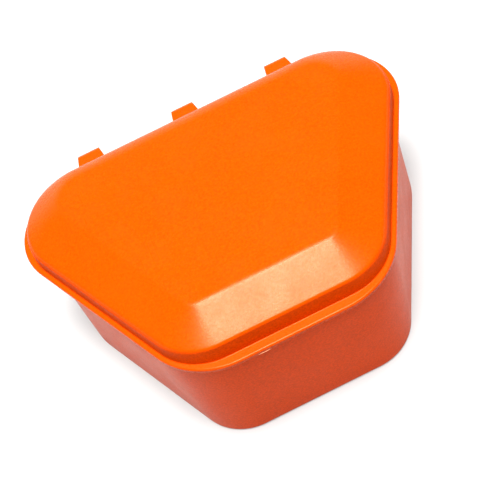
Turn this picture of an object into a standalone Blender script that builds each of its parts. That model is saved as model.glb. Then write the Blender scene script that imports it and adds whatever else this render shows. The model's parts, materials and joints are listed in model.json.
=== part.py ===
"""Hinged denture box in two polypropylene mouldings.

The tub is a deep, slightly drafted container whose plan is a rounded trapezoid, wide at the back.
The lid is a low dome with a flat top, sloping sides and front, and a rim that rests on the tub.
Three snap hooks at the lid's back edge clip over three short bars that the tub carries between lugs,
and the lid turns on them.

Frame: metres, +X to the right, +Y to the back, +Z up. The origin lies in the tub's flat underside.
"""

import math

import bmesh
import bpy
from mathutils import Matrix, Vector

MM = 0.001
NAME = "hinged_denture_box"

# Plan of the lid's rim: a trapezoid that is symmetric about the YZ plane.
RIM_BACK_WIDTH = 112.8 * MM  # between the sharp back corners
RIM_DEPTH = 65.2 * MM
SIDE_ANGLE = math.radians(27.7)  # of the slanted sides, from the Y axis
RIM_BACK_RADIUS = 15.2 * MM
RIM_FRONT_RADIUS = 17.3 * MM

# Heights above the underside.
RIM_BOTTOM = 30.0 * MM
RIM_TOP = 31.2 * MM
STEP_TOP = 35.5 * MM  # where the upright step wall meets the sloping facets
LID_TOP = 39.0 * MM
GAP = 0.3 * MM  # between the tub and the closed lid

# Lid, as insets from the rim's outline: (sides, front, back).
LID_WALL = 1.2 * MM
STEP_FOOT = (1.1 * MM, 2.2 * MM, 2.0 * MM)
STEP_DRAFT = 0.4 * MM
FACET_RUN = (10.4 * MM, 9.0 * MM)  # plan width of the side facets at mid depth and of the front facet
CREST_ANGLE = math.radians(25.3)  # of the flat top's sides, so the side facets widen to the back
BACK_ROUND = 6.7 * MM  # radius that rolls the flat top down to the back
CREST_ROUND = 4.0 * MM  # softens the edge between the facets and the flat top
BROW_ROUND = 0.8 * MM  # softens the edge between the facets and the step wall
RIM_ROUND = 0.45 * MM
DOME_FRONT_RADIUS = 13.7 * MM
DOME_BACK_RADIUS = 14.5 * MM
LEAST_RADIUS = 3.0 * MM

# Rib under the lid that centres it in the tub.
RIB_INSET = 1.9 * MM
RIB_WALL = 1.0 * MM
RIB_BOTTOM = 28.4 * MM
RIB_TOP = 31.6 * MM
RIB_BACK_END = 2.0 * MM

# Tub.
TUB_WALL = 1.2 * MM
TUB_FLOOR = 1.3 * MM
TUB_TOP_INSET = (0.4 * MM, 0.4 * MM, 0.6 * MM)
TUB_FOOT_INSET = (0.5 * MM, 0.5 * MM, 0.8 * MM)
TUB_TOP_RADII = (17.3 * MM, 22.4 * MM)  # front and back corners
TUB_FOOT_RADII = (12.6 * MM, 18.1 * MM)
FOOT_ROUND = 0.6 * MM
FLOOR_ROUND = 2.0 * MM

# Hinge: the bars' axis runs along X.
HINGE_Y = 35.8 * MM
HINGE_Z = 27.0 * MM
HINGE_SPACING = 24.9 * MM
HINGE_PLACES = (-1, 0, 1)
BAR_RADIUS = 1.0 * MM
HOOK_BORE = 1.25 * MM
HOOK_OUTER = 2.8 * MM
HOOK_CORNER = 1.6 * MM
HOOK_ROOT_Y = 31.6 * MM
HOOK_ROOT_HALF_WIDTH = 3.7 * MM
HOOK_END_HALF_WIDTH = 2.65 * MM
MOUTH_FROM = math.radians(140)
MOUTH_TO = math.radians(225)
LUG_RADIUS = 1.2 * MM
LUG_WALL = 1.5 * MM
LUG_GAP = 3.75 * MM  # from a hook's middle to the lug beside it
LUG_ROOT_Y = 31.6 * MM
LUG_FOOT_Z = 23.0 * MM

CORNER_STEPS = 9
ROUND_STEPS = 3
BAR_SIDES = 20
WELD = 0.01 * MM


def clear_scene():
    for obj in list(bpy.data.objects):
        bpy.data.objects.remove(obj)


def new_collection(name):
    collection = bpy.data.collections.new(name)
    bpy.context.scene.collection.children.link(collection)
    return collection


def plastic(name, colour, roughness):
    material = bpy.data.materials.new(name)
    material.use_nodes = True
    shader = material.node_tree.nodes["Principled BSDF"]
    shader.inputs["Base Color"].default_value = (*colour, 1.0)
    shader.inputs["Roughness"].default_value = roughness
    shader.inputs["Metallic"].default_value = 0.0
    material.diffuse_color = (*colour, 1.0)
    return material


def object_from(bm, name, collection, material, origin=(0.0, 0.0, 0.0)):
    """An object made from a bmesh in world coordinates, with its own origin at the given point."""
    bmesh.ops.recalc_face_normals(bm, faces=bm.faces)
    bmesh.ops.translate(bm, verts=bm.verts, vec=-Vector(origin))
    mesh = bpy.data.meshes.new(name)
    bm.to_mesh(mesh)
    bm.free()
    mesh.shade_smooth()
    mesh.set_sharp_from_angle(angle=math.radians(30))
    mesh.materials.append(material)
    obj = bpy.data.objects.new(name, mesh)
    obj.location = origin
    collection.objects.link(obj)
    return obj


def arc(centre, radius, start, end, steps):
    """Points on an arc, both ends included."""
    points = []
    for i in range(steps + 1):
        angle = start + (end - start) * i / steps
        points.append((centre[0] + radius * math.cos(angle), centre[1] + radius * math.sin(angle)))
    return points


def trapezoid(inset, front_radius, back_radius, angle=SIDE_ANGLE, steps=CORNER_STEPS):
    """The rim's plan moved inwards by inset = (sides, front, back), counter-clockwise from the front."""
    sine, cosine = math.sin(angle), math.cos(angle)
    middle_half_width = RIM_BACK_WIDTH / 2 - RIM_DEPTH / 2 * math.tan(SIDE_ANGLE)
    # The right side lies on the line x cosine - y sine = reach.
    reach = middle_half_width * cosine - inset[0]
    front_y = -RIM_DEPTH / 2 + inset[1] + front_radius
    back_y = RIM_DEPTH / 2 - inset[2] - back_radius
    front = ((reach - front_radius + front_y * sine) / cosine, front_y)
    back = ((reach - back_radius + back_y * sine) / cosine, back_y)
    right = arc(front, front_radius, -math.pi / 2, -angle, steps)
    right += arc(back, back_radius, -angle, math.pi / 2, 2 * steps)
    return right + [(-x, y) for x, y in reversed(right)]


def ring(z, inset, front_radius, back_radius, angle=SIDE_ANGLE):
    return [(x, y, z) for x, y in trapezoid(inset, front_radius, back_radius, angle)]


def loft(name, rings, collection, material, origin=(0.0, 0.0, 0.0)):
    """A closed solid whose skin runs through the rings, with a flat cap at the first and the last."""
    bm = bmesh.new()
    loops = [[bm.verts.new(point) for point in points] for points in rings]
    bm.faces.new(loops[0])
    bm.faces.new(reversed(loops[-1]))
    for lower, upper in zip(loops, loops[1:]):
        for i in range(len(lower)):
            j = (i + 1) % len(lower)
            bm.faces.new((lower[i], lower[j], upper[j], upper[i]))
    return object_from(bm, name, collection, material, origin)


def extruded(outline, thickness):
    """A mesh of a closed outline in the XY plane, extruded along Z by half the thickness each way."""
    curve = bpy.data.curves.new("outline", "CURVE")
    curve.dimensions = "2D"
    curve.fill_mode = "BOTH"
    curve.extrude = thickness / 2
    spline = curve.splines.new("POLY")
    spline.points.add(len(outline) - 1)
    for point, (x, y) in zip(spline.points, outline):
        point.co = (x, y, 0.0, 1.0)
    spline.use_cyclic_u = True
    guide = bpy.data.objects.new("outline", curve)
    bpy.context.scene.collection.objects.link(guide)
    graph = bpy.context.evaluated_depsgraph_get()
    mesh = bpy.data.meshes.new_from_object(guide.evaluated_get(graph))
    bpy.data.objects.remove(guide)
    return mesh


def copies(mesh, matrices):
    """A bmesh that holds one welded copy of the mesh for each matrix."""
    bm = bmesh.new()
    for matrix in matrices:
        bm.from_mesh(mesh)
        added = [vert for vert in bm.verts if not vert.tag]
        bmesh.ops.transform(bm, matrix=matrix, verts=added)
        for vert in added:
            vert.tag = True
    bmesh.ops.remove_doubles(bm, verts=bm.verts, dist=WELD)
    return bm


def upright(x):
    """Turns a mesh drawn in the XY plane into the YZ plane, at the given x."""
    return Matrix.Translation((x, 0.0, 0.0)) @ Matrix(((0, 0, 1), (1, 0, 0), (0, 1, 0))).to_4x4()


def boolean(target, tool, operation):
    modifier = target.modifiers.new(f"{operation.lower()} {tool.name}", "BOOLEAN")
    modifier.operation = operation
    modifier.solver = "EXACT"
    modifier.object = tool
    tool.hide_render = True
    tool.display_type = "WIRE"


def rounded_corner(before, corner, after, radius, steps=ROUND_STEPS):
    """Points of the arc that rounds the corner of the path before-corner-after."""
    first = (before[0] - corner[0], before[1] - corner[1])
    second = (after[0] - corner[0], after[1] - corner[1])
    first_angle = math.atan2(first[1], first[0])
    second_angle = math.atan2(second[1], second[0])
    turn = (second_angle - first_angle + math.pi) % (2 * math.pi) - math.pi
    middle = first_angle + turn / 2
    reach = radius / math.sin(abs(turn) / 2)
    centre = (corner[0] + reach * math.cos(middle), corner[1] + reach * math.sin(middle))
    sweep = math.copysign(math.pi - abs(turn), turn)
    start = middle + math.pi + sweep / 2
    return arc(centre, radius, start, start - sweep, steps)


def interpolate(z, path):
    """The inset at height z of a path of (inset, z) points that rises all the way."""
    for (inset_a, z_a), (inset_b, z_b) in zip(path, path[1:]):
        if z <= z_b:
            share = (z - z_a) / (z_b - z_a)
            return inset_a + (inset_b - inset_a) * share
    return path[-1][0]


def facet_path(foot, run, top, step_top):
    """Step wall, sloping facet and the start of the flat top, as rising (inset, z) points."""
    brow = (foot + STEP_DRAFT, step_top)
    crest = (brow[0] + run, top)
    path = [(foot, RIM_TOP)]
    path += rounded_corner(path[0], brow, crest, BROW_ROUND)
    path += rounded_corner(brow, crest, (crest[0] + run, top), CREST_ROUND)
    return path


def back_path(foot, top):
    """Upright back wall, rolled over into the flat top."""
    centre = (foot + BACK_ROUND, top - BACK_ROUND)
    return [(foot, RIM_TOP)] + arc(centre, BACK_ROUND, math.pi, math.pi / 2, 4 * ROUND_STEPS)


def dome_rings(extra, top, step_top):
    """Rings of the dome from the rim up: extra moves the surface inwards, for the inside of the wall."""
    side = facet_path(STEP_FOOT[0] + extra, FACET_RUN[0], top, step_top)
    front = facet_path(STEP_FOOT[1] + extra, FACET_RUN[1], top, step_top)
    back = back_path(STEP_FOOT[2] + extra, top)
    rings = []
    for z in sorted({round(point[1], 7) for point in side + front}):
        inset = (interpolate(z, side), interpolate(z, front), interpolate(z, back))
        side_moved = inset[0] - STEP_FOOT[0]
        back_moved = inset[2] - STEP_FOOT[2]
        front_radius = max(LEAST_RADIUS, DOME_FRONT_RADIUS - side_moved)
        back_radius = max(LEAST_RADIUS, DOME_BACK_RADIUS - (side_moved + back_moved) / 2)
        climbed = max(0.0, side_moved - extra - STEP_DRAFT) / FACET_RUN[0]
        angle = SIDE_ANGLE + (CREST_ANGLE - SIDE_ANGLE) * min(1.0, climbed)
        rings.append(ring(z, inset, front_radius, back_radius, angle))
    return rings


def rim_edge_rings():
    """The rim's rounded outer edge, from its top face down to its underside."""
    upper = arc((RIM_ROUND, RIM_TOP - RIM_ROUND), RIM_ROUND, math.pi / 2, math.pi, ROUND_STEPS)
    lower = arc((RIM_ROUND, RIM_BOTTOM + RIM_ROUND), RIM_ROUND, math.pi, 1.5 * math.pi, ROUND_STEPS)
    rings = []
    for inset, z in upper + lower:
        rings.append(ring(z, (inset, inset, inset), RIM_FRONT_RADIUS - inset, RIM_BACK_RADIUS - inset))
    return rings


def make_lid_shell(collection, material):
    outside = dome_rings(0.0, LID_TOP, STEP_TOP)
    inside = dome_rings(LID_WALL, LID_TOP - LID_WALL, STEP_TOP - LID_WALL / 2)
    opening = [(x, y, RIM_BOTTOM) for x, y, _ in inside[0]]
    rings = list(reversed(outside)) + rim_edge_rings() + [opening] + inside[1:]
    return loft("hinged_lid", rings, collection, material, origin=(0.0, HINGE_Y, HINGE_Z))


def rib_outline():
    """A strip along the front and the sides, open at the back."""
    strip = []
    for inset in (RIB_INSET, RIB_INSET + RIB_WALL):
        loop = trapezoid((inset,) * 3, RIM_FRONT_RADIUS - inset, RIM_BACK_RADIUS - inset)
        half = len(loop) // 2
        right = [point for point in loop[:half] if point[1] < RIB_BACK_END]
        reach = right[-1][0] + (RIB_BACK_END - right[-1][1]) * math.tan(SIDE_ANGLE)
        right.append((reach, RIB_BACK_END))
        strip.append([(-x, y) for x, y in reversed(right)] + right)
    return strip[0] + strip[1][::-1]


def make_rib(collection, material):
    middle = Matrix.Translation((0.0, 0.0, (RIB_TOP + RIB_BOTTOM) / 2))
    bm = copies(extruded(rib_outline(), RIB_TOP - RIB_BOTTOM), [middle])
    return object_from(bm, "locating_rib", collection, material)


def hook_outline():
    """Profile in the YZ plane: an arm flush with the rim, turned down and curled round the bar."""
    end_y = HINGE_Y + HOOK_OUTER
    axis = (HINGE_Y, HINGE_Z)
    outline = [(HOOK_ROOT_Y, RIM_TOP)]
    outline += arc((end_y - HOOK_CORNER, RIM_TOP - HOOK_CORNER), HOOK_CORNER, math.pi / 2, 0.0, 5)
    outline += arc(axis, HOOK_OUTER, 0.0, MOUTH_TO - 2 * math.pi, 12)
    outline += arc(axis, HOOK_BORE, MOUTH_TO - 2 * math.pi, MOUTH_FROM, 20)
    lip_y = HINGE_Y - HOOK_BORE
    outline += [(lip_y, HINGE_Z + HOOK_BORE), (lip_y - 0.4 * MM, RIM_BOTTOM), (HOOK_ROOT_Y, RIM_BOTTOM)]
    return outline


def make_hooks(collection, material):
    """The three hooks, each a little narrower at its end than at its root."""
    hook = extruded(hook_outline(), 2 * HOOK_ROOT_HALF_WIDTH)
    length = HINGE_Y + HOOK_OUTER - RIM_DEPTH / 2
    for vert in hook.vertices:
        share = (vert.co.x - RIM_DEPTH / 2) / length
        vert.co.z *= 1.0 + (HOOK_END_HALF_WIDTH / HOOK_ROOT_HALF_WIDTH - 1.0) * share
    bm = copies(hook, [upright(place * HINGE_SPACING) for place in HINGE_PLACES])
    return object_from(bm, "snap_hooks", collection, material)


def tub_rings():
    """Rings from the underside up the outside, over the edge and down the inside to the floor."""
    top_z = RIM_BOTTOM - GAP

    def section(z, inward):
        share = z / top_z
        inset = [foot + (top - foot) * share + inward for foot, top in zip(TUB_FOOT_INSET, TUB_TOP_INSET)]
        radii = [foot + (top - foot) * share - inward for foot, top in zip(TUB_FOOT_RADII, TUB_TOP_RADII)]
        return ring(z, inset, *radii)

    rings = []
    for inward, z in arc((FOOT_ROUND, FOOT_ROUND), FOOT_ROUND, 1.5 * math.pi, math.pi, ROUND_STEPS):
        rings.append(section(z, inward))
    rings.append(section(top_z, 0.0))
    rings.append(section(top_z, TUB_WALL))
    centre = (TUB_WALL + FLOOR_ROUND, TUB_FLOOR + FLOOR_ROUND)
    for inward, z in arc(centre, FLOOR_ROUND, math.pi, 1.5 * math.pi, 2 * ROUND_STEPS):
        rings.append(section(z, inward))
    return rings


def make_lugs(collection, material):
    """Six plates on the tub's back wall, a pair for each hook."""
    outline = [(LUG_ROOT_Y, HINGE_Z + LUG_RADIUS)]
    outline += arc((HINGE_Y, HINGE_Z), LUG_RADIUS, math.pi / 2, -math.pi / 3, 9)
    outline += [(LUG_ROOT_Y, LUG_FOOT_Z)]
    beside = LUG_GAP + LUG_WALL / 2
    middles = [place * HINGE_SPACING + hand * beside for place in HINGE_PLACES for hand in (-1, 1)]
    bm = copies(extruded(outline, LUG_WALL), [upright(x) for x in middles])
    return object_from(bm, "hinge_lugs", collection, material)


def make_bars(collection, material):
    """Three short round bars, each held between two lugs."""
    bm = bmesh.new()
    for place in HINGE_PLACES:
        centre = Matrix.Translation((place * HINGE_SPACING, HINGE_Y, HINGE_Z))
        bmesh.ops.create_cone(
            bm,
            cap_ends=True,
            segments=BAR_SIDES,
            radius1=BAR_RADIUS,
            radius2=BAR_RADIUS,
            depth=2 * LUG_GAP + LUG_WALL,
            matrix=centre @ Matrix.Rotation(math.pi / 2, 4, "Y"),
        )
    return object_from(bm, "hinge_bars", collection, material)


def main():
    clear_scene()
    parts = new_collection(NAME)
    tools = new_collection("joined_shapes")
    tub_orange = plastic("tub orange polypropylene", (0.83, 0.12, 0.01), 0.35)
    lid_orange = plastic("lid orange polypropylene", (0.95, 0.16, 0.005), 0.35)

    tub = loft("tub", tub_rings(), parts, tub_orange)
    boolean(tub, make_lugs(tools, tub_orange), "UNION")
    boolean(tub, make_bars(tools, tub_orange), "UNION")

    lid = make_lid_shell(parts, lid_orange)
    boolean(lid, make_rib(tools, lid_orange), "UNION")
    boolean(lid, make_hooks(tools, lid_orange), "UNION")


main()
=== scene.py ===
# Hinged denture box in satin orange polypropylene: a tub and a domed lid that snaps onto its hinge bars.
# Both mouldings are built here as fine meshes in the frame's own space: metres, +Y to the hinge, +Z up.

import json
import math

import bmesh
import bpy
from mathutils import Matrix, Vector


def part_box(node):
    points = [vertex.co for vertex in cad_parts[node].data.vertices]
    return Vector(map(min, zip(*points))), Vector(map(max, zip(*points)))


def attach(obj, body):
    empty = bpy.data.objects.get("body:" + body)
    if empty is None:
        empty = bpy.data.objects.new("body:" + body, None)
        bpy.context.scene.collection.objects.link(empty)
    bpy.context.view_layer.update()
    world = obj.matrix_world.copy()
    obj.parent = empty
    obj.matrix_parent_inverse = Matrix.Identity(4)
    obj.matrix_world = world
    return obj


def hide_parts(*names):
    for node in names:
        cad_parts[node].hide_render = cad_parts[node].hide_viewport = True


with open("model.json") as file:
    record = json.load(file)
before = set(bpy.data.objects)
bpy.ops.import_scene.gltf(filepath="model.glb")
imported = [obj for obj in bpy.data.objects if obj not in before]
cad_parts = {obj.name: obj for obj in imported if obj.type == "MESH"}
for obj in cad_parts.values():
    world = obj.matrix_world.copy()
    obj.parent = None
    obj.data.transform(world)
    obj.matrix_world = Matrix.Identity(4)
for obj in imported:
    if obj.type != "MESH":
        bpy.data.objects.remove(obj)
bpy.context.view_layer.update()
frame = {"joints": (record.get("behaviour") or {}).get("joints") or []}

MM = 0.001

# Levels and hinge line, read from the frame.
HINGE = Vector(frame["joints"][0]["pos_m"])
LID_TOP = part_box("hinged_lid")[1].z
TUB_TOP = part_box("tub")[1].z
HOOK_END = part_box("hinged_lid")[1].y

# Plan of the lid's rim, a rounded trapezoid that is wide at the back.
RIM_DEPTH = 65.2 * MM
RIM_BACK_WIDTH = 112.8 * MM  # between the sharp back corners
SIDE_ANGLE = math.radians(27.7)  # of the slanted sides, from the Y axis
RIM_FRONT_RADIUS = 17.3 * MM
RIM_BACK_RADIUS = 15.2 * MM
RIM_BOTTOM = TUB_TOP + 0.1 * MM  # leaves a narrow gap over the tub's edge
RIM_TOP = TUB_TOP + 1.5 * MM
RIM_FALL = 0.03 * MM  # the rim's top slopes down outwards by this much
RIM_ROUND = 0.45 * MM  # of its outer edge

# Dome of the lid, as insets from the rim's outline: (sides, front, back).
STEP_FOOT = (1.1 * MM, 2.2 * MM, 2.0 * MM)
STEP_TOP = LID_TOP - 3.5 * MM  # height of the brow, where the facets start
STEP_DRAFT = 0.4 * MM  # the step wall leans inwards by this much
FACET_RUN = (10.4 * MM, 9.0 * MM)  # plan width of the side facets at mid depth and of the front facet
CREST_ANGLE = math.radians(25.3)  # of the flat top's sides
FOOT_FILLET = 0.22 * MM
BROW_ROUND = (1.9 * MM, 0.8 * MM)  # where the step wall meets the side facets and the front facet
CREST_ROUND = 4.0 * MM  # where the facets meet the flat top
BACK_ROUND = 6.7 * MM
DOME_FRONT_RADIUS = 13.7 * MM
DOME_BACK_RADIUS = 14.5 * MM
LEAST_RADIUS = 3.0 * MM  # of the corners, however far in they are
STEEP = 0.6  # faces whose normal rises less than this count as step wall
LID_WALL = 1.2 * MM

# Locating rib under the rim.
RIB_INSET = 1.9 * MM  # from the rim's outline
RIB_WALL = 1.0 * MM
RIB_HEIGHT = 1.6 * MM  # below the rim's underside
RIB_BACK_END = 2.0 * MM  # the rib stops at this Y
RIB_ROOT = 0.8 * MM  # reaches this far up into the rim
RIB_EDGE_ROUND = 0.3 * MM

# Tub.
TUB_WALL = 1.2 * MM
TUB_FLOOR = 1.3 * MM
TUB_TOP_INSET = (0.4 * MM, 0.4 * MM, 0.6 * MM)  # from the rim's outline: sides, front, back
TUB_FOOT_INSET = (0.5 * MM, 0.5 * MM, 0.8 * MM)
TUB_TOP_RADII = (17.3 * MM, 22.4 * MM)  # front and back corners
TUB_FOOT_RADII = (12.6 * MM, 18.1 * MM)
FOOT_ROUND = 0.9 * MM
LIP_ROUND = 0.3 * MM
FLOOR_ROUND = 2.0 * MM

# Hinge.
HINGE_SPACING = 24.9 * MM
HINGE_PLACES = (-1, 0, 1)
BAR_RADIUS = 1.0 * MM
HOOK_BORE = 1.25 * MM
HOOK_OUTER = HOOK_END - HINGE.y
HOOK_CORNER = 1.6 * MM
HOOK_HALF_WIDTHS = (3.7 * MM, 2.65 * MM)  # at the rim and at the end
HOOK_LIP_LEAN = 0.4 * MM  # the front face under the rim leans forwards by this much
MOUTH = (math.radians(140), math.radians(225))  # the hook is open between these angles, from the +Y axis
LUG_RADIUS = 1.2 * MM
LUG_WALL = 1.5 * MM
LUG_EDGE_ROUND = 0.14 * MM  # leaves a flat wider than the bar
LUG_GAP = 3.75 * MM  # from a hook's middle to the lug beside it
LUG_ROUND_END = math.radians(-60)  # the lug's round end turns down to this angle
LUG_FOOT_Z = 23.0 * MM
ROOT_Y = 31.6 * MM  # hooks and lugs start this far back, inside the walls
EDGE_ROUND = 0.22 * MM

# A pale sliver on the rim, whose colour is a painted highlight, and the moulding marks: the gate's dimple
# under the tub and the ejector pins' marks.
SLIVER_X = -6.8 * MM
SLIVER_LENGTH = 3.2 * MM
SLIVER_HEIGHT = 0.22 * MM
SLIVER_RISE = 0.15 * MM  # above the rim's underside
SLIVER_BULGE = 0.14 * MM  # its middle stands this far in front of its ends
SLIVER_SUNK = 0.1 * MM  # its ends lie this far inside the rim's edge
SLIVER_EDGE_ROUND = 0.06 * MM
DIMPLE_Y = 8.0 * MM
DIMPLE_RADIUS = 2.6 * MM
DIMPLE_DEPTH = 0.35 * MM
DIMPLE_START = -1.0 * MM  # the recess is cut from this far below the underside
NIB_RADIUS = 0.8 * MM  # at its root
NIB_TIP_RADIUS = 0.7 * NIB_RADIUS
NIB_ROOT = 0.2 * MM  # reaches this far up into the floor
PIN_RADIUS = 2.5 * MM
PIN_DEPTH = 0.22 * MM  # the marks have sloping sides
TUB_PINS = ((24.0 * MM, 17.0 * MM), (15.0 * MM, -14.0 * MM))  # and their mirror images
LID_PINS = ((20.0 * MM, 15.0 * MM), (9.0 * MM, -12.0 * MM))

# How finely the curves are divided.
CORNER_STEPS = 24
RUN_STEPS = 10
ROUND_STEPS = 6
HOOK_CORNER_STEPS = 12
HOOK_OUTER_STEPS = 28
HOOK_BORE_STEPS = 36
LUG_STEPS = 20
BEVEL_STEPS = 4
BAR_SIDES = 48

# Clean-up and shading of the meshes.
WELD = 0.002 * MM
FLAT_ANGLE = math.radians(0.5)  # faces that meet at less are merged
HARD_ANGLE = math.radians(40)  # edges that turn by more are rounded over
SMOOTH_ANGLE = math.radians(35)  # edges that turn by less are shaded smooth

# Plastic: base colours, and how far the flow and the pigment move them.
ORANGE = (0.50, 0.057, 0.0003)
TUB_ORANGE = (0.54, 0.055, 0.0003)
# The rim sliver's pale colour below is a painted highlight, not the plastic's own colour.
GLINT_PAINT_ORANGE = (0.93, 0.42, 0.24)
DEEP_SHARE = 0.92
PALE_SHARE = 1.45
PIGMENT_MOST = 0.7
GLOSS_TINT = (1.0, 0.94, 0.72, 1.0)
PLASTIC_IOR = 1.49

# Sizes of the plastic's patterns, and how much each one does.
FLOW_SIZE = 14.0 * MM
PIGMENT_SIZE = 0.4 * MM
SHEEN_SIZE = 6.0 * MM
FINE_SIZE = 0.6 * MM
UNEVEN_ROUGHNESS = 0.03
RUBBED_ROUGHNESS = -0.05  # a hairline is glossier
WAVE_SIZE = 9.0 * MM
WAVE_HEIGHT = 0.03 * MM
GRAIN_SIZE = 0.38 * MM
HAIRLINE_SIZE = 0.35 * MM
HAIRLINE_STRETCH = (1.0, 0.02, 0.02)
HAIRLINE_TURNS = (20.0, 75.0, 140.0)
HAIRLINE_BAND = (0.70, 0.76)  # of the noise, from no hairline to a full one
PATCH_SIZE = 11.0 * MM
PATCH_BAND = (0.5, 0.62)  # of the noise, from no hairlines to all of them

# Floor: a round sheet of pale paper that glows a little near the object and more far from it.
FLOOR_RADIUS = 1.4
COVE_RADIUS = 0.4
COVE_STEPS = 12
FLOOR_SIDES = 96
FLOOR_MIDDLE = 0.001  # radius of the small face in its middle
PAPER = ((0.30, 0.31, 0.315), (0.31, 0.32, 0.325))
PAPER_PATCH = 60.0 * MM
GLOW = (0.33, 0.85)  # strength near the object and far from it
GLOW_REACH = (0.12, 0.62)  # distances in metres where the glow starts to grow and where it is full
WHITE = (1.0, 1.0, 1.0)

# Lights, in degrees and metres.
OVERHEAD = {
    "azimuth": 0.0,
    "elevation": 86.5,
    "distance": 0.8,
    "size": (0.31, 0.305),
    "radiance": 54.0,
    "colour": (1.0, 0.96, 0.93),
}
BACK = {
    "azimuth": 180.0,
    "elevation": 22.0,
    "distance": 1.0,
    "size": (1.6, 0.5),
    "radiance": 1.2,
    "colour": WHITE,
}
WORLD_STRENGTH = 0.03

# Photograph's view: a direction from the object, a turn of the picture, and the lens.
VIEW_AZIMUTH = math.radians(-2.0)
VIEW_ELEVATION = math.radians(54.0)
VIEW_ROLL = math.radians(24.6)
VIEW_DISTANCE = 207.8 * MM
VIEW_CENTRE = Vector((0.0, 0.0, 20.0)) * MM
VIEW_OFFSET = (-3.03 * MM, 1.30 * MM)
SENSOR = 36.0  # sensor and lens in millimetres
LENS = 67.7
VIEW_SHIFT = -0.041
CLIP_START = 0.01


# ---------------------------------------------------------------- outlines


def arc(centre, radius, start, end, steps):
    """Points on an arc, both ends included."""
    points = []
    for i in range(steps + 1):
        angle = start + (end - start) * i / steps
        points.append((centre[0] + radius * math.cos(angle), centre[1] + radius * math.sin(angle)))
    return points


def run(start, end):
    """Points evenly between two points, both left out."""
    return [tuple(Vector(start).lerp(Vector(end), i / RUN_STEPS)) for i in range(1, RUN_STEPS)]


def trapezoid(inset, front_radius, back_radius, angle=SIDE_ANGLE):
    """The rim's plan moved inwards by inset = (sides, front, back), counter-clockwise from the front."""
    sine, cosine = math.sin(angle), math.cos(angle)
    middle_half_width = RIM_BACK_WIDTH / 2 - RIM_DEPTH / 2 * math.tan(SIDE_ANGLE)
    # The right side lies on the line x cosine - y sine = reach.
    reach = middle_half_width * cosine - inset[0]
    front_y = -RIM_DEPTH / 2 + inset[1] + front_radius
    back_y = RIM_DEPTH / 2 - inset[2] - back_radius
    front = ((reach - front_radius + front_y * sine) / cosine, front_y)
    back = ((reach - back_radius + back_y * sine) / cosine, back_y)
    corner = arc(front, front_radius, -math.pi / 2, -angle, CORNER_STEPS)
    last = arc(back, back_radius, -angle, math.pi / 2, 2 * CORNER_STEPS)
    right = corner + run(corner[-1], last[0]) + last
    left = [(-x, y) for x, y in reversed(right)]
    return right + run(right[-1], left[0]) + left + run(left[-1], right[0])


def ring(z, inset, front_radius, back_radius, angle=SIDE_ANGLE):
    """The trapezoid at height z."""
    return [(x, y, z) for x, y in trapezoid(inset, front_radius, back_radius, angle)]


def rounded_corner(before, corner, after, radius):
    """Points of the arc that rounds the corner of the path before-corner-after."""
    first = (before[0] - corner[0], before[1] - corner[1])
    second = (after[0] - corner[0], after[1] - corner[1])
    first_angle = math.atan2(first[1], first[0])
    second_angle = math.atan2(second[1], second[0])
    turn = (second_angle - first_angle + math.pi) % (2 * math.pi) - math.pi
    middle = first_angle + turn / 2
    reach = radius / math.sin(abs(turn) / 2)
    centre = (corner[0] + reach * math.cos(middle), corner[1] + reach * math.sin(middle))
    sweep = math.copysign(math.pi - abs(turn), turn)
    start = middle + math.pi + sweep / 2
    return arc(centre, radius, start, start - sweep, ROUND_STEPS)


def interpolate(z, path):
    """The inset at height z of a path of (inset, z) points that rises all the way."""
    for (inset_a, z_a), (inset_b, z_b) in zip(path, path[1:]):
        if z <= z_b:
            share = (z - z_a) / (z_b - z_a)
            return inset_a + (inset_b - inset_a) * share
    return path[-1][0]


# ---------------------------------------------------------------- meshes


def add_object(name, data):
    """A new object in the scene."""
    obj = bpy.data.objects.new(name, data)
    bpy.context.scene.collection.objects.link(obj)
    return obj


def bmesh_object(bm, name, *materials):
    """A new object from a bmesh, its faces turned outwards."""
    bmesh.ops.recalc_face_normals(bm, faces=bm.faces)
    mesh = bpy.data.meshes.new(name)
    bm.to_mesh(mesh)
    bm.free()
    for material in materials:
        mesh.materials.append(material)
    return add_object(name, mesh)


def loft(name, rings, inner_from, outer_material, inner_material):
    """A closed skin through the rings, capped at both ends.

    The bands from number inner_from on, and the last cap, take the inner material.
    """
    bm = bmesh.new()
    loops = [[bm.verts.new(point) for point in points] for points in rings]
    bm.faces.new(loops[0])
    last = bm.faces.new(reversed(loops[-1]))
    last.material_index = 1
    for level, (lower, upper) in enumerate(zip(loops, loops[1:])):
        for i in range(len(lower)):
            j = (i + 1) % len(lower)
            face = bm.faces.new((lower[i], lower[j], upper[j], upper[i]))
            face.material_index = int(level >= inner_from)
    return bmesh_object(bm, name, outer_material, inner_material)


def evaluated_mesh(obj):
    """A mesh of the object as it shows, with its modifiers or its extrusion."""
    graph = bpy.context.evaluated_depsgraph_get()
    return bpy.data.meshes.new_from_object(obj.evaluated_get(graph))


def applied(obj):
    """Replaces the object's mesh by what its modifiers make of it."""
    mesh = evaluated_mesh(obj)
    obj.modifiers.clear()
    obj.data = mesh
    return obj


def extruded(outline, thickness):
    """A mesh of a closed outline in the XY plane, extruded along Z by half the thickness each way."""
    curve = bpy.data.curves.new("outline", "CURVE")
    curve.dimensions = "2D"
    curve.fill_mode = "BOTH"
    curve.extrude = thickness / 2
    spline = curve.splines.new("POLY")
    spline.points.add(len(outline) - 1)
    for point, (x, y) in zip(spline.points, outline):
        point.co = (x, y, 0.0, 1.0)
    spline.use_cyclic_u = True
    guide = add_object("outline", curve)
    mesh = evaluated_mesh(guide)
    bpy.data.objects.remove(guide)
    return mesh


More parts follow.
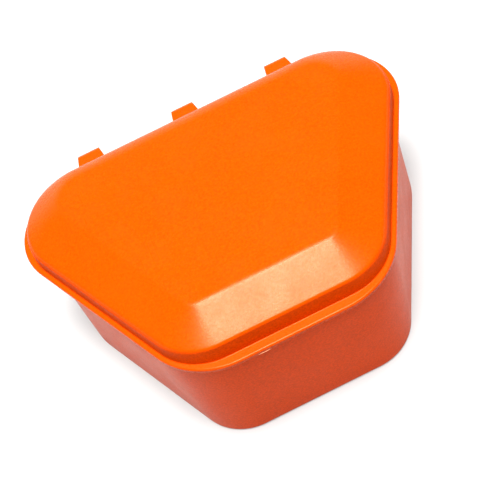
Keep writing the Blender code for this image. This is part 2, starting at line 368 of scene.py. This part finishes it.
def copies(mesh, matrices):
    """A bmesh that holds one copy of the mesh for each matrix, welded and with its flats merged."""
    bm = bmesh.new()
    for matrix in matrices:
        bm.from_mesh(mesh)
        added = [vert for vert in bm.verts if not vert.tag]
        bmesh.ops.transform(bm, matrix=matrix, verts=added)
        for vert in added:
            vert.tag = True
    bmesh.ops.remove_doubles(bm, verts=bm.verts, dist=WELD)
    bmesh.ops.dissolve_limit(bm, angle_limit=FLAT_ANGLE, verts=bm.verts, edges=bm.edges)
    return bm


def upright(x):
    """The matrix that stands a mesh drawn in the XY plane up in the YZ plane, at the given x."""
    return Matrix.Translation((x, 0.0, 0.0)) @ Matrix(((0, 0, 1), (1, 0, 0), (0, 1, 0))).to_4x4()


def softened(bm, name, material, width=EDGE_ROUND):
    """An object whose hard edges are rounded over."""
    obj = bmesh_object(bm, name, material)
    bevel = obj.modifiers.new("edges", "BEVEL")
    bevel.width = width
    bevel.segments = BEVEL_STEPS
    bevel.limit_method = "ANGLE"
    bevel.angle_limit = HARD_ANGLE
    return applied(obj)


def combine(obj, tool, operation):
    """Joins the tool to the object or cuts it out of it, and uses the tool up."""
    modifier = obj.modifiers.new(operation, "BOOLEAN")
    modifier.operation = operation
    modifier.solver = "EXACT"
    modifier.material_mode = "TRANSFER"
    modifier.object = tool
    applied(obj)
    bpy.data.objects.remove(tool)


def disc(x, y, bottom, top, radii, material):
    """A low frustum with its axis upright. radii are at the bottom and at the top."""
    bm = bmesh.new()
    bmesh.ops.create_cone(
        bm,
        cap_ends=True,
        segments=BAR_SIDES,
        radius1=radii[0],
        radius2=radii[1],
        depth=top - bottom,
        matrix=Matrix.Translation((x, y, (bottom + top) / 2)),
    )
    return bmesh_object(bm, "disc", material)


def press_pin_marks(obj, places, level, direction, material):
    """Shallow round marks at the places and at their mirror images, sunk upwards (1) or downwards (-1)."""
    wide, narrow = PIN_RADIUS + 2 * PIN_DEPTH, PIN_RADIUS
    radii = (wide, narrow) if direction > 0 else (narrow, wide)
    for x, y in places:
        for hand in (-1, 1):
            mark = disc(hand * x, y, level - PIN_DEPTH, level + PIN_DEPTH, radii, material)
            combine(obj, mark, "DIFFERENCE")


def smooth(obj):
    """Smooth shading with the flats kept flat."""
    obj.data.shade_smooth()
    obj.data.set_sharp_from_angle(angle=SMOOTH_ANGLE)
    weights = obj.modifiers.new("flat faces lead", "WEIGHTED_NORMAL")
    weights.mode = "FACE_AREA"
    weights.weight = 50
    weights.keep_sharp = True
    return obj


# ---------------------------------------------------------------- lid


def foot_fillet(foot, start):
    """The small radius where an upright wall meets the rim, as (inset, z) points."""
    return arc((foot - FOOT_FILLET, start + FOOT_FILLET), FOOT_FILLET, -math.pi / 2, 0.0, ROUND_STEPS)


def facet_path(foot, run_width, brow_round, top, step_top, start):
    """Foot fillet, step wall, sloping facet and the start of the flat top, as rising (inset, z) points."""
    brow = (foot + STEP_DRAFT, step_top)
    crest = (brow[0] + run_width, top)
    path = foot_fillet(foot, start)
    path += rounded_corner(path[-1], brow, crest, brow_round)
    path += rounded_corner(brow, crest, (crest[0] + run_width, top), CREST_ROUND)
    return path


def back_path(foot, top, start):
    """Foot fillet and upright back wall, rolled over into the flat top."""
    centre = (foot + BACK_ROUND, top - BACK_ROUND)
    return foot_fillet(foot, start) + arc(centre, BACK_ROUND, math.pi, math.pi / 2, 3 * ROUND_STEPS)


def dome_rings(extra, top, step_top, start):
    """Rings of the dome from the height start up. extra moves the surface inwards, for the inside."""
    side = facet_path(STEP_FOOT[0] + extra, FACET_RUN[0], BROW_ROUND[0], top, step_top, start)
    front = facet_path(STEP_FOOT[1] + extra, FACET_RUN[1], BROW_ROUND[1], top, step_top, start)
    back = back_path(STEP_FOOT[2] + extra, top, start)
    rings = []
    for z in sorted({round(point[1], 7) for point in side + front + back}):
        inset = (interpolate(z, side), interpolate(z, front), interpolate(z, back))
        side_moved = inset[0] - STEP_FOOT[0]
        back_moved = inset[2] - STEP_FOOT[2]
        front_radius = max(LEAST_RADIUS, DOME_FRONT_RADIUS - side_moved)
        back_radius = max(LEAST_RADIUS, DOME_BACK_RADIUS - (side_moved + back_moved) / 2)
        climbed = max(0.0, side_moved - extra - STEP_DRAFT) / FACET_RUN[0]
        angle = SIDE_ANGLE + (CREST_ANGLE - SIDE_ANGLE) * min(1.0, climbed)
        rings.append(ring(z, inset, front_radius, back_radius, angle))
    return rings


def rim_edge_rings():
    """The rim's rounded outer edge, from its top face down to its underside."""
    top = RIM_TOP - RIM_FALL
    edge = arc((RIM_ROUND, top - RIM_ROUND), RIM_ROUND, math.pi / 2, math.pi, ROUND_STEPS)
    edge += arc((RIM_ROUND, RIM_BOTTOM + RIM_ROUND), RIM_ROUND, math.pi, 1.5 * math.pi, ROUND_STEPS)
    rings = []
    for inset, z in edge:
        rings.append(ring(z, (inset,) * 3, RIM_FRONT_RADIUS - inset, RIM_BACK_RADIUS - inset))
    return rings


def lid_shell(outer, inner):
    """The dome and the rim: from the flat top down the outside, round the rim and up the inside."""
    outside = dome_rings(0.0, LID_TOP, STEP_TOP, RIM_TOP)
    inside = dome_rings(LID_WALL, LID_TOP - LID_WALL, STEP_TOP - LID_WALL / 2, RIM_BOTTOM + EDGE_ROUND)
    skin = list(reversed(outside)) + rim_edge_rings()
    opening = [(x, y, RIM_BOTTOM) for x, y, _ in inside[0]]
    return loft("lid_moulding", skin + [opening] + inside[1:], len(skin), outer, inner)


def rib_outline():
    """A strip along the front and the sides, open at the back."""
    strip = []
    for inset in (RIB_INSET, RIB_INSET + RIB_WALL):
        loop = trapezoid((inset,) * 3, RIM_FRONT_RADIUS - inset, RIM_BACK_RADIUS - inset)
        half = [point for point in loop if point[0] > 0 and point[1] < RIB_BACK_END]
        half.sort(key=lambda point: math.atan2(point[1], point[0]))
        reach = half[-1][0] + (RIB_BACK_END - half[-1][1]) * math.tan(SIDE_ANGLE)
        half.append((reach, RIB_BACK_END))
        strip.append([(-x, y) for x, y in reversed(half)] + half)
    return strip[0] + strip[1][::-1]


def locating_rib(material):
    """The rib that fits inside the tub's lip when the lid is closed."""
    top = RIM_BOTTOM + RIB_ROOT
    bottom = RIM_BOTTOM - RIB_HEIGHT
    middle = Matrix.Translation((0.0, 0.0, (top + bottom) / 2))
    bm = copies(extruded(rib_outline(), top - bottom), [middle])
    return softened(bm, "rib", material, RIB_EDGE_ROUND)


def hook_outline():
    """Profile in the YZ plane: an arm flush with the rim, turned down and curled round the bar."""
    axis = (HINGE.y, HINGE.z)
    top = RIM_TOP - RIM_FALL
    outline = [(ROOT_Y, top)]
    corner = (HOOK_END - HOOK_CORNER, top - HOOK_CORNER)
    outline += arc(corner, HOOK_CORNER, math.pi / 2, 0.0, HOOK_CORNER_STEPS)
    outline += arc(axis, HOOK_OUTER, 0.0, MOUTH[1] - 2 * math.pi, HOOK_OUTER_STEPS)
    outline += arc(axis, HOOK_BORE, MOUTH[1] - 2 * math.pi, MOUTH[0], HOOK_BORE_STEPS)
    lip_y = HINGE.y - HOOK_BORE
    outline += [(lip_y, HINGE.z + HOOK_BORE), (lip_y - HOOK_LIP_LEAN, RIM_BOTTOM), (ROOT_Y, RIM_BOTTOM)]
    return outline


def snap_hooks(material):
    """The three hooks, each a little narrower at its end than at its root."""
    root, end = HOOK_HALF_WIDTHS
    hook = extruded(hook_outline(), 2 * root)
    # The mesh still lies flat here: its x runs back along the hook, and its z across it.
    for vert in hook.vertices:
        share = (vert.co.x - RIM_DEPTH / 2) / (HOOK_END - RIM_DEPTH / 2)
        vert.co.z *= 1.0 + (end / root - 1.0) * share
    bm = copies(hook, [upright(place * HINGE_SPACING) for place in HINGE_PLACES])
    return softened(bm, "hooks", material)


def pale_sliver(material):
    """A pale raised sliver on the rim's lower front edge. Its pale colour is a painted highlight that
    stands for a glint on that edge.
    """
    front = -RIM_DEPTH / 2
    half = SLIVER_LENGTH / 2
    outline = [(SLIVER_X - half, front + RIM_ROUND)]
    for i in range(ROUND_STEPS + 1):
        along = -1.0 + 2.0 * i / ROUND_STEPS
        outline.append((SLIVER_X + along * half, front + SLIVER_SUNK - SLIVER_BULGE * (1.0 - along**4)))
    outline.append((SLIVER_X + half, front + RIM_ROUND))
    level = Matrix.Translation((0.0, 0.0, RIM_BOTTOM + SLIVER_RISE + SLIVER_HEIGHT / 2))
    bm = copies(extruded(outline, SLIVER_HEIGHT), [level])
    return softened(bm, "painted_sliver", material, SLIVER_EDGE_ROUND)


def finish_step_wall(lid, material):
    """Gives the outer faces that are steep, from the rim to the brow, a duller finish of their own."""
    lid.data.materials.append(material)
    for face in lid.data.polygons:
        steep = face.center.z > RIM_TOP and abs(face.normal.z) < STEEP
        if steep and face.material_index == 0:
            face.material_index = len(lid.data.materials) - 1


def make_lid(outer, inner, step, painted_sliver):
    """The whole lid as one closed mesh."""
    lid = lid_shell(outer, inner)
    finish_step_wall(lid, step)
    combine(lid, locating_rib(inner), "UNION")
    combine(lid, snap_hooks(outer), "UNION")
    combine(lid, pale_sliver(painted_sliver), "UNION")
    press_pin_marks(lid, LID_PINS, LID_TOP - LID_WALL, 1, inner)
    return smooth(lid)


# ---------------------------------------------------------------- tub


def tub_section(z, inward):
    """The tub's plan at height z, moved inwards from its outer face."""
    share = z / TUB_TOP
    inset = [foot + (top - foot) * share + inward for foot, top in zip(TUB_FOOT_INSET, TUB_TOP_INSET)]
    radii = [foot + (top - foot) * share - inward for foot, top in zip(TUB_FOOT_RADII, TUB_TOP_RADII)]
    return ring(z, inset, *radii)


def tub_shell(outer, inner):
    """Rings from the underside up the outside, over the lip and down the inside to the floor."""
    foot = arc((FOOT_ROUND, FOOT_ROUND), FOOT_ROUND, 1.5 * math.pi, math.pi, ROUND_STEPS)
    lip = arc((LIP_ROUND, TUB_TOP - LIP_ROUND), LIP_ROUND, math.pi, math.pi / 2, ROUND_STEPS)
    inner_lip_centre = (TUB_WALL - LIP_ROUND, TUB_TOP - LIP_ROUND)
    inner_lip = arc(inner_lip_centre, LIP_ROUND, math.pi / 2, 0.0, ROUND_STEPS)
    floor_centre = (TUB_WALL + FLOOR_ROUND, TUB_FLOOR + FLOOR_ROUND)
    floor = arc(floor_centre, FLOOR_ROUND, math.pi, 1.5 * math.pi, 2 * ROUND_STEPS)
    profile = foot + run(foot[-1], lip[0]) + lip + inner_lip + run(inner_lip[-1], floor[0]) + floor
    inner_from = profile.index(inner_lip[0])
    rings = [tub_section(z, inward) for inward, z in profile]
    return loft("tub_moulding", rings, inner_from, outer, inner)


def hinge_lugs(material):
    """Six plates on the tub's back wall, a pair for each hook."""
    outline = [(ROOT_Y, HINGE.z + LUG_RADIUS)]
    outline += arc((HINGE.y, HINGE.z), LUG_RADIUS, math.pi / 2, LUG_ROUND_END, LUG_STEPS)
    outline += [(ROOT_Y, LUG_FOOT_Z)]
    beside = LUG_GAP + LUG_WALL / 2
    middles = [place * HINGE_SPACING + hand * beside for place in HINGE_PLACES for hand in (-1, 1)]
    bm = copies(extruded(outline, LUG_WALL), [upright(x) for x in middles])
    return softened(bm, "lugs", material, LUG_EDGE_ROUND)


def hinge_bars(material):
    """Three short round bars, each held between two lugs."""
    bm = bmesh.new()
    for place in HINGE_PLACES:
        centre = Matrix.Translation((place * HINGE_SPACING, HINGE.y, HINGE.z))
        bmesh.ops.create_cone(
            bm,
            cap_ends=True,
            segments=BAR_SIDES,
            radius1=BAR_RADIUS,
            radius2=BAR_RADIUS,
            depth=2 * LUG_GAP + LUG_WALL,
            matrix=centre @ Matrix.Rotation(math.pi / 2, 4, "Y"),
        )
    return bmesh_object(bm, "bars", material)


def press_gate_dimple(tub, material):
    """A shallow round recess under the floor, with the broken-off nib of the gate inside it."""
    radii = (DIMPLE_RADIUS, DIMPLE_RADIUS - DIMPLE_DEPTH / 2)
    recess = disc(0.0, DIMPLE_Y, DIMPLE_START, DIMPLE_DEPTH, radii, material)
    combine(tub, recess, "DIFFERENCE")
    nib_radii = (NIB_TIP_RADIUS, NIB_RADIUS)
    nib = disc(0.0, DIMPLE_Y, DIMPLE_DEPTH / 3, DIMPLE_DEPTH + NIB_ROOT, nib_radii, material)
    combine(tub, nib, "UNION")


def make_tub(outer, inner):
    """The whole tub as one closed mesh."""
    tub = tub_shell(outer, inner)
    combine(tub, hinge_lugs(outer), "UNION")
    combine(tub, hinge_bars(outer), "UNION")
    press_pin_marks(tub, TUB_PINS, TUB_FLOOR, -1, inner)
    press_gate_dimple(tub, outer)
    return smooth(tub)


# ---------------------------------------------------------------- materials


class Nodes:
    """Adds nodes to a material's tree and links them."""

    def __init__(self, name):
        self.material = bpy.data.materials.new(name)
        self.material.use_nodes = True
        self.tree = self.material.node_tree
        self.shader = self.tree.nodes["Principled BSDF"]
        self.place = self.add("ShaderNodeTexCoord").outputs["Object"]

    def add(self, kind, **values):
        """A new node with the given properties."""
        node = self.tree.nodes.new(kind)
        for key, value in values.items():
            setattr(node, key, value)
        return node

    def link(self, source, target):
        """A link from one socket to another."""
        self.tree.links.new(source, target)

    def noise(self, size, detail=2.0, roughness=0.5, stretch=(1.0, 1.0, 1.0), turn=0.0):
        """Noise with features of about the given size in metres. turn, in degrees, is about every axis."""
        mapping = self.add("ShaderNodeMapping")
        mapping.inputs["Scale"].default_value = stretch
        mapping.inputs["Rotation"].default_value = (math.radians(turn),) * 3
        self.link(self.place, mapping.inputs["Vector"])
        noise = self.add("ShaderNodeTexNoise")
        noise.inputs["Scale"].default_value = 1.0 / size
        noise.inputs["Detail"].default_value = detail
        noise.inputs["Roughness"].default_value = roughness
        self.link(mapping.outputs["Vector"], noise.inputs["Vector"])
        return noise.outputs["Fac"]

    def remap(self, source, low, high, from_low=0.3, from_high=0.7):
        """The source, stretched so that from_low gives low and from_high gives high, and held there."""
        node = self.add("ShaderNodeMapRange")
        node.inputs["From Min"].default_value = from_low
        node.inputs["From Max"].default_value = from_high
        node.inputs["To Min"].default_value = low
        node.inputs["To Max"].default_value = high
        self.link(source, node.inputs["Value"])
        return node.outputs["Result"]

    def mix(self, factor, first, second):
        """A colour between two, each a tuple or a socket."""
        node = self.add("ShaderNodeMix", data_type="RGBA")
        self.link(factor, node.inputs["Factor"])
        for key, colour in (("A", first), ("B", second)):
            socket = next(s for s in node.inputs if s.name == key and s.type == "RGBA")
            if isinstance(colour, tuple):
                socket.default_value = (*colour, 1.0)
            else:
                self.link(colour, socket)
        return next(s for s in node.outputs if s.type == "RGBA")

    def maths(self, operation, first, second):
        """One operation on two values, each a float or a socket."""
        node = self.add("ShaderNodeMath", operation=operation)
        for socket, value in zip(node.inputs, (first, second)):
            if isinstance(value, float):
                socket.default_value = value
            else:
                self.link(value, socket)
        return node.outputs["Value"]

    def bump(self, height, distance, before=None):
        """A normal for a relief of the given height in metres, on top of the one before."""
        node = self.add("ShaderNodeBump")
        node.inputs["Strength"].default_value = 1.0
        node.inputs["Distance"].default_value = distance
        self.link(height, node.inputs["Height"])
        if before is not None:
            self.link(before, node.inputs["Normal"])
        return node.outputs["Normal"]


def scratches(nodes):
    """Fine hairlines in three directions, 1 on a hairline and 0 elsewhere, thinned out in patches."""
    strongest = None
    for turn in HAIRLINE_TURNS:
        lines = nodes.noise(HAIRLINE_SIZE, detail=1.0, stretch=HAIRLINE_STRETCH, turn=turn)
        hairline = nodes.remap(lines, 0.0, 1.0, *HAIRLINE_BAND)
        strongest = hairline if strongest is None else nodes.maths("MAXIMUM", strongest, hairline)
    patches = nodes.remap(nodes.noise(PATCH_SIZE, detail=1.0), 0.0, 1.0, *PATCH_BAND)
    return nodes.maths("MULTIPLY", strongest, patches)


def polypropylene(name, colour, roughness, grain, level=0.20):
    """Satin moulded plastic.

    grain is the height of the fine surface grain in metres, and level is the shader's specular level.
    """
    nodes = Nodes(name)
    deep = tuple(DEEP_SHARE * c for c in colour)
    pale = tuple(min(1.0, PALE_SHARE * c) for c in colour)
    flow = nodes.remap(nodes.noise(FLOW_SIZE, detail=3.0), 0.0, 1.0)
    pigment = nodes.remap(nodes.noise(PIGMENT_SIZE, roughness=0.6), 0.0, PIGMENT_MOST)
    base = nodes.mix(flow, deep, colour)
    nodes.link(nodes.mix(pigment, base, pale), nodes.shader.inputs["Base Color"])

    hairlines = scratches(nodes)
    least, most = roughness - UNEVEN_ROUGHNESS, roughness + UNEVEN_ROUGHNESS
    sheen_patches = nodes.remap(nodes.noise(SHEEN_SIZE), least, most)
    fine = nodes.remap(nodes.noise(FINE_SIZE), -UNEVEN_ROUGHNESS, UNEVEN_ROUGHNESS)
    rubbed = nodes.maths("MULTIPLY", hairlines, RUBBED_ROUGHNESS)
    uneven = nodes.maths("ADD", sheen_patches, fine)
    nodes.link(nodes.maths("ADD", uneven, rubbed), nodes.shader.inputs["Roughness"])

    waves = nodes.bump(nodes.noise(WAVE_SIZE, detail=1.0), WAVE_HEIGHT)
    grained = nodes.bump(nodes.noise(GRAIN_SIZE, detail=3.0, roughness=0.6), grain, waves)
    nodes.link(grained, nodes.shader.inputs["Normal"])
    nodes.shader.inputs["IOR"].default_value = PLASTIC_IOR
    nodes.shader.inputs["Specular IOR Level"].default_value = level
    nodes.shader.inputs["Specular Tint"].default_value = GLOSS_TINT
    return nodes.material


def floor_paper():
    """Matt grey paper with a white glow that keeps the picture's background white."""
    nodes = Nodes("pale_floor")
    tone = nodes.remap(nodes.noise(PAPER_PATCH), 0.0, 1.0)
    nodes.link(nodes.mix(tone, *PAPER), nodes.shader.inputs["Base Color"])
    nodes.shader.inputs["Roughness"].default_value = 0.9
    nodes.shader.inputs["Specular IOR Level"].default_value = 0.0
    nodes.shader.inputs["Emission Color"].default_value = (*WHITE, 1.0)
    distance = nodes.add("ShaderNodeVectorMath", operation="LENGTH")
    nodes.link(nodes.place, distance.inputs["Vector"])
    glow = nodes.remap(distance.outputs["Value"], *GLOW, *GLOW_REACH)
    nodes.link(glow, nodes.shader.inputs["Emission Strength"])
    return nodes.material


# ---------------------------------------------------------------- studio


def make_floor():
    """A round floor that curves up into a low wall, far from the object."""
    bm = bmesh.new()
    middle = (FLOOR_MIDDLE, 0.0)
    profile = [middle] + run(middle, (FLOOR_RADIUS, 0.0))
    profile += arc((FLOOR_RADIUS, COVE_RADIUS), COVE_RADIUS, -math.pi / 2, 0.0, COVE_STEPS)
    loops = []
    for radius, z in profile:
        points = arc((0.0, 0.0), radius, 0.0, 2 * math.pi, FLOOR_SIDES)[:-1]
        loops.append([bm.verts.new((x, y, z)) for x, y in points])
    bm.faces.new(loops[0])
    for inner, outer in zip(loops, loops[1:]):
        for i in range(FLOOR_SIDES):
            j = (i + 1) % FLOOR_SIDES
            bm.faces.new((inner[i], outer[i], outer[j], inner[j]))
    floor = bmesh_object(bm, "floor", floor_paper())
    floor.data.shade_smooth()


def direction_to(azimuth, elevation):
    """A unit vector from the object, for angles in radians, with azimuth 0 in front of it."""
    flat = math.cos(elevation)
    return Vector((math.sin(azimuth) * flat, -math.cos(azimuth) * flat, math.sin(elevation)))


def softbox(name, azimuth, elevation, distance, size, radiance, colour):
    """A rectangular area light that faces the object, as bright in a mirror as its radiance."""
    back = direction_to(math.radians(azimuth), math.radians(elevation))
    light = bpy.data.lights.new(name, "AREA")
    light.shape = "RECTANGLE"
    light.size, light.size_y = size
    light.energy = radiance * math.pi * size[0] * size[1]
    light.color = colour
    obj = add_object(name, light)
    obj.location = VIEW_CENTRE + back * distance
    obj.rotation_mode = "QUATERNION"
    obj.rotation_quaternion = (-back).to_track_quat("-Z", "Y")


def make_world():
    """A faint white light from everywhere."""
    world = bpy.data.worlds.new("studio")
    world.use_nodes = True
    background = world.node_tree.nodes["Background"]
    background.inputs["Color"].default_value = (*WHITE, 1.0)
    background.inputs["Strength"].default_value = WORLD_STRENGTH
    bpy.context.scene.world = world


def make_camera():
    """The camera at the photograph's angle, turned about its own axis as the photograph is."""
    back = direction_to(VIEW_AZIMUTH, VIEW_ELEVATION)
    right = Vector((math.cos(VIEW_AZIMUTH), math.sin(VIEW_AZIMUTH), 0.0))
    up = back.cross(right)
    rolled_right = right * math.cos(VIEW_ROLL) - up * math.sin(VIEW_ROLL)
    rolled_up = right * math.sin(VIEW_ROLL) + up * math.cos(VIEW_ROLL)
    matrix = Matrix((rolled_right, rolled_up, back)).transposed().to_4x4()
    target = VIEW_CENTRE - right * VIEW_OFFSET[0] - up * VIEW_OFFSET[1]
    matrix.translation = target + back * VIEW_DISTANCE
    data = bpy.data.cameras.new("camera")
    data.sensor_width = SENSOR
    data.lens = LENS
    data.shift_x = VIEW_SHIFT
    data.clip_start = CLIP_START
    camera = add_object("camera", data)
    camera.matrix_world = matrix
    bpy.context.scene.camera = camera


# ---------------------------------------------------------------- the scene


def place_lid():
    """The lid with its satin outside, smoother inside, dull step wall and a pale sliver on the rim whose
    colour is a painted highlight.
    """
    skin = polypropylene("lid_satin_orange", ORANGE, roughness=0.28, grain=0.014 * MM, level=0.15)
    core = polypropylene("lid_inside_orange", ORANGE, roughness=0.24, grain=0.003 * MM)
    step = polypropylene("lid_dull_orange", ORANGE, roughness=0.40, grain=0.011 * MM, level=0.03)
    # The rim sliver's pale colour is a painted highlight.
    painted_sliver = polypropylene("painted_glint_pale", GLINT_PAINT_ORANGE, roughness=0.6, grain=0.004 * MM)
    lid = make_lid(skin, core, step, painted_sliver)
    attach(lid, "lid")
    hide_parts("hinged_lid")


def place_tub():
    """The tub with its satin outside and smoother inside."""
    skin = polypropylene("tub_satin_orange", TUB_ORANGE, roughness=0.34, grain=0.010 * MM, level=0.10)
    core = polypropylene("tub_inside_orange", ORANGE, roughness=0.24, grain=0.003 * MM)
    tub = make_tub(skin, core)
    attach(tub, "tub")
    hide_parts("tub")


def main():
    """The two mouldings, the floor, the lights and the camera."""
    place_lid()
    place_tub()
    make_floor()
    make_world()
    softbox("overhead", **OVERHEAD)
    softbox("back", **BACK)
    make_camera()
    view = bpy.context.scene.view_settings
    view.view_transform = "Standard"
    view.look = "Medium High Contrast"


main()
